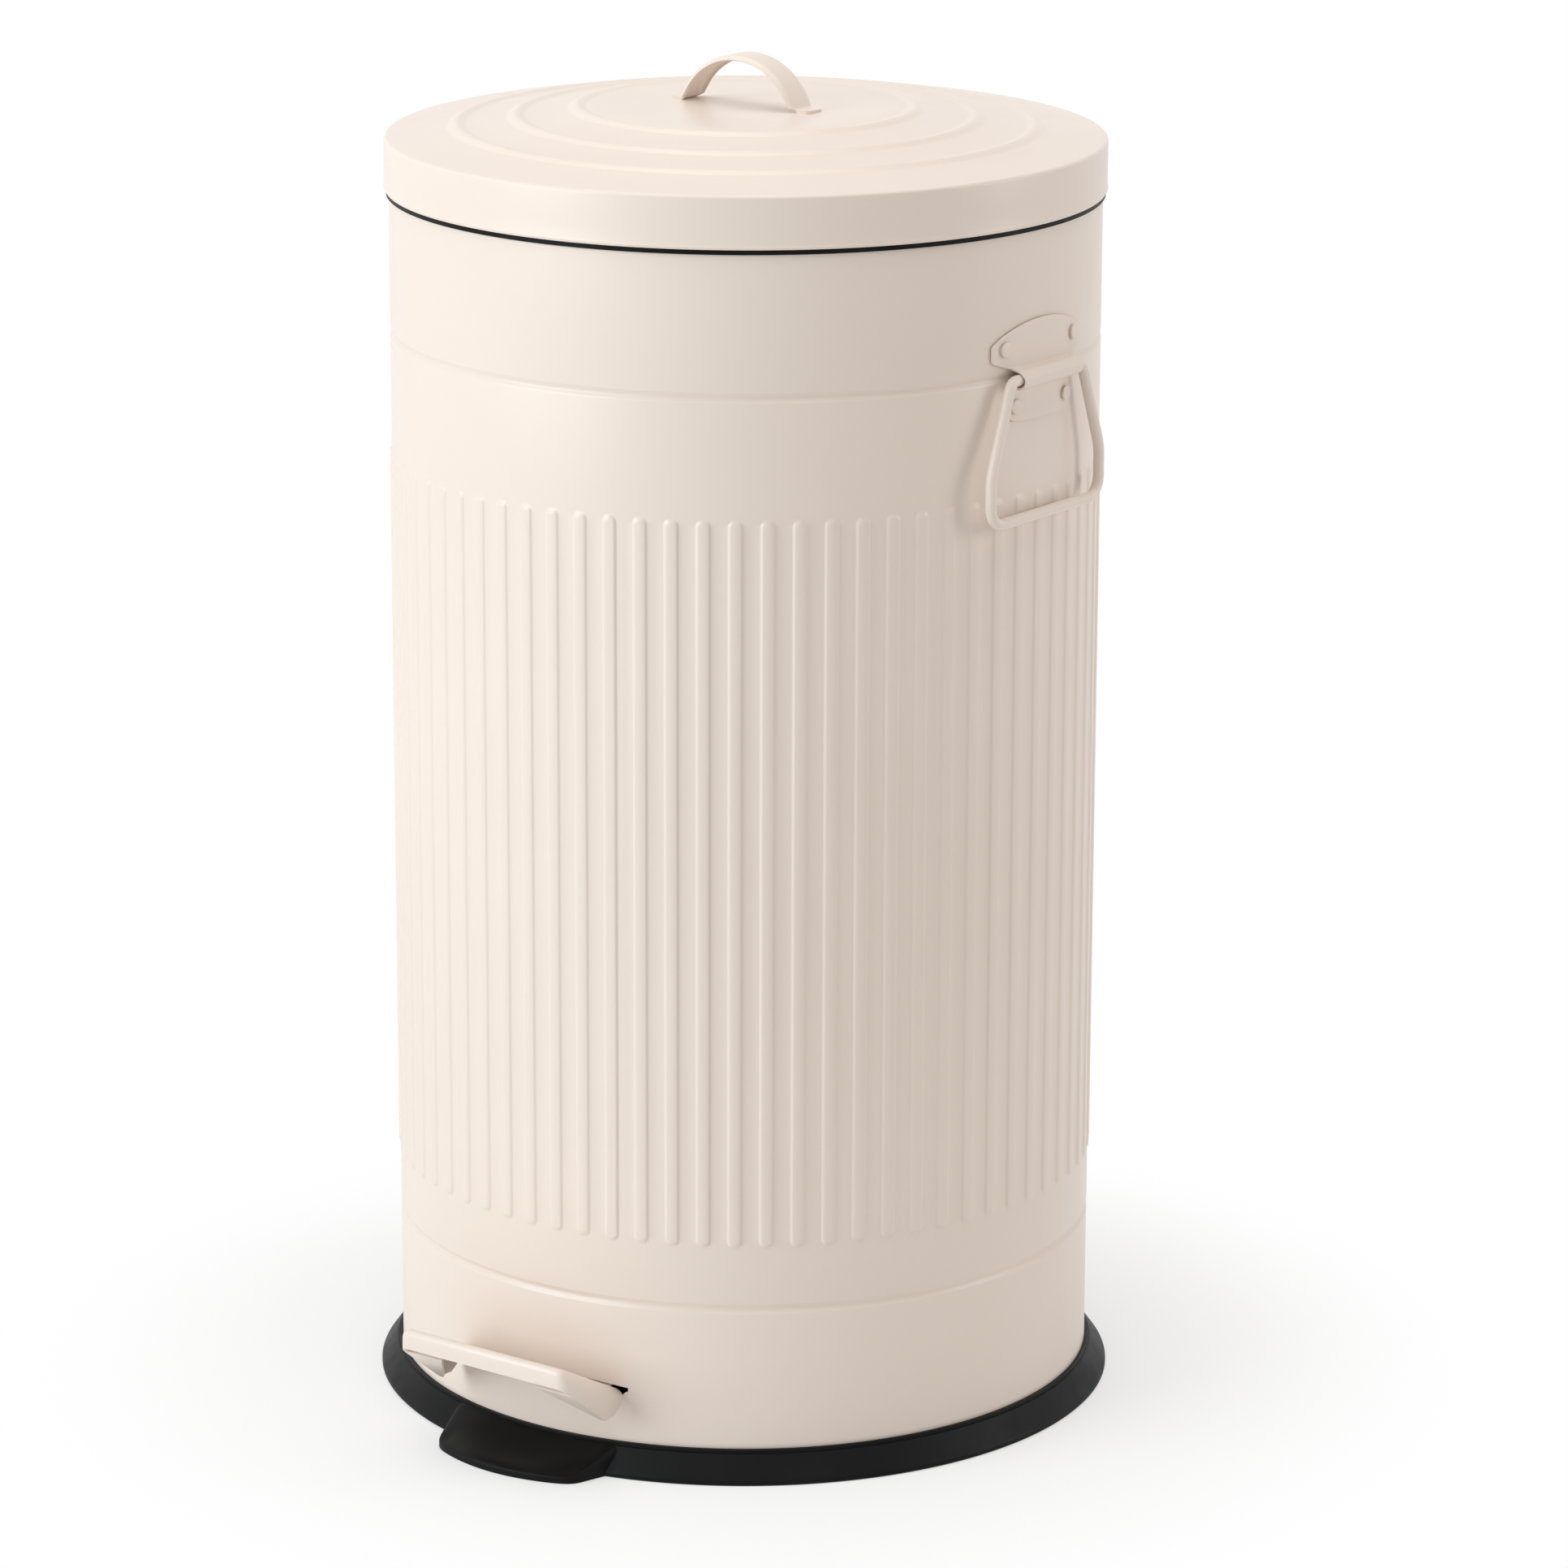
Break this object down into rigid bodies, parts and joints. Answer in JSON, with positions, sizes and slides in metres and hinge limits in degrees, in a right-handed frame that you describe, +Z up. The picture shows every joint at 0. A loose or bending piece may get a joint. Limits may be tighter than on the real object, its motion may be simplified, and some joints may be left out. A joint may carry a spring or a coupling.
{
  "type": "pedal trash can",
  "caption": "Round ribbed steel pedal bin with a hinged domed lid, drop side handles, black plastic base and a lift-out bucket.",
  "frame": {"origin": "on the can's axis at the floor", "axes": "+Z up, -Y towards the pedal at the front, +X to the right of a person facing the back from the pedal side"},
  "size_m": [0.3466, 0.3778, 0.6274],
  "materials": {
    "cream_paint": "satin cream powder coat on sheet steel",
    "zinc_steel": "plain zinc-plated steel",
    "black_plastic": "fine-grained black moulding",
    "bucket_plastic": "dark grey moulding",
    "bush_plastic": "natural nylon"
  },
  "bodies": {
    "bin": {"body_shell": "cream_paint", "base_pan": "black_plastic", "base_plate": "zinc_steel", "base_screws": "zinc_steel", "rim_ring": "black_plastic", "bucket_platform": "zinc_steel", "platform_rivets": "zinc_steel", "pedal_bracket": "zinc_steel", "bracket_rivets": "zinc_steel", "pedal_axle": "zinc_steel", "axle_clips": "zinc_steel", "lower_rod_guide": "zinc_steel", "upper_rod_guide": "zinc_steel", "hinge_bracket": "cream_paint", "hinge_bracket_rivets": "cream_paint", "hinge_pin": "zinc_steel", "right_handle_plate": "cream_paint", "left_handle_plate": "cream_paint", "right_handle_rivets": "cream_paint", "left_handle_rivets": "cream_paint"},
    "lid": {"lid_shell": "cream_paint", "lid_handle": "cream_paint", "lid_hinge_leaf": "cream_paint", "lid_lever": "zinc_steel", "lid_rivets": "cream_paint"},
    "pedal": {"pedal_pad": "cream_paint", "pedal_lever": "zinc_steel", "pedal_rivets": "zinc_steel", "lever_bushes": "bush_plastic"},
    "rod": {"push_rod": "zinc_steel", "rod_clips": "zinc_steel"},
    "bucket": {"inner_bucket": "bucket_plastic"},
    "bucket_handle": {"bucket_bail": "zinc_steel", "bail_grip": "bucket_plastic"},
    "right_handle": {"right_bail": "cream_paint"},
    "left_handle": {"left_bail": "cream_paint"}
  },
  "joints": [
    {"name": "lid_hinge", "type": "hinge", "parent": "bin", "child": "lid", "pos_m": [0, 0.1716, 0.572], "axis": [-1, 0, 0], "range_deg": [0, 75]},
    {"name": "pedal_pivot", "type": "hinge", "parent": "bin", "child": "pedal", "pos_m": [0, -0.125, 0.0265], "axis": [1, 0, 0], "range_deg": [0, 7.4]},
    {"name": "rod_slide", "type": "slide", "parent": "bin", "child": "rod", "axis": [0, 0, 1], "range_m": [0, 0.0354]},
    {"name": "right_handle_swing", "type": "hinge", "parent": "bin", "child": "right_handle", "pos_m": [0.1667, 0, 0.5005], "axis": [0, -1, 0], "range_deg": [0, 140]},
    {"name": "left_handle_swing", "type": "hinge", "parent": "bin", "child": "left_handle", "pos_m": [-0.1667, 0, 0.5005], "axis": [0, 1, 0], "range_deg": [0, 140]},
    {"name": "bucket_lift", "type": "slide", "parent": "bin", "child": "bucket", "axis": [0, 0, 1], "range_m": [0, 0.008]},
    {"name": "bucket_handle_swing", "type": "hinge", "parent": "bucket", "child": "bucket_handle", "pos_m": [0, 0, 0.528], "axis": [-1, 0, 0], "range_deg": [0, 30]}
  ],
  "couplings": [
    {"joint": "pedal_pivot", "follows": "lid_hinge", "ratio": 0.098597},
    {"joint": "rod_slide", "follows": "lid_hinge", "m_per_rad": 0.026965}
  ]
}
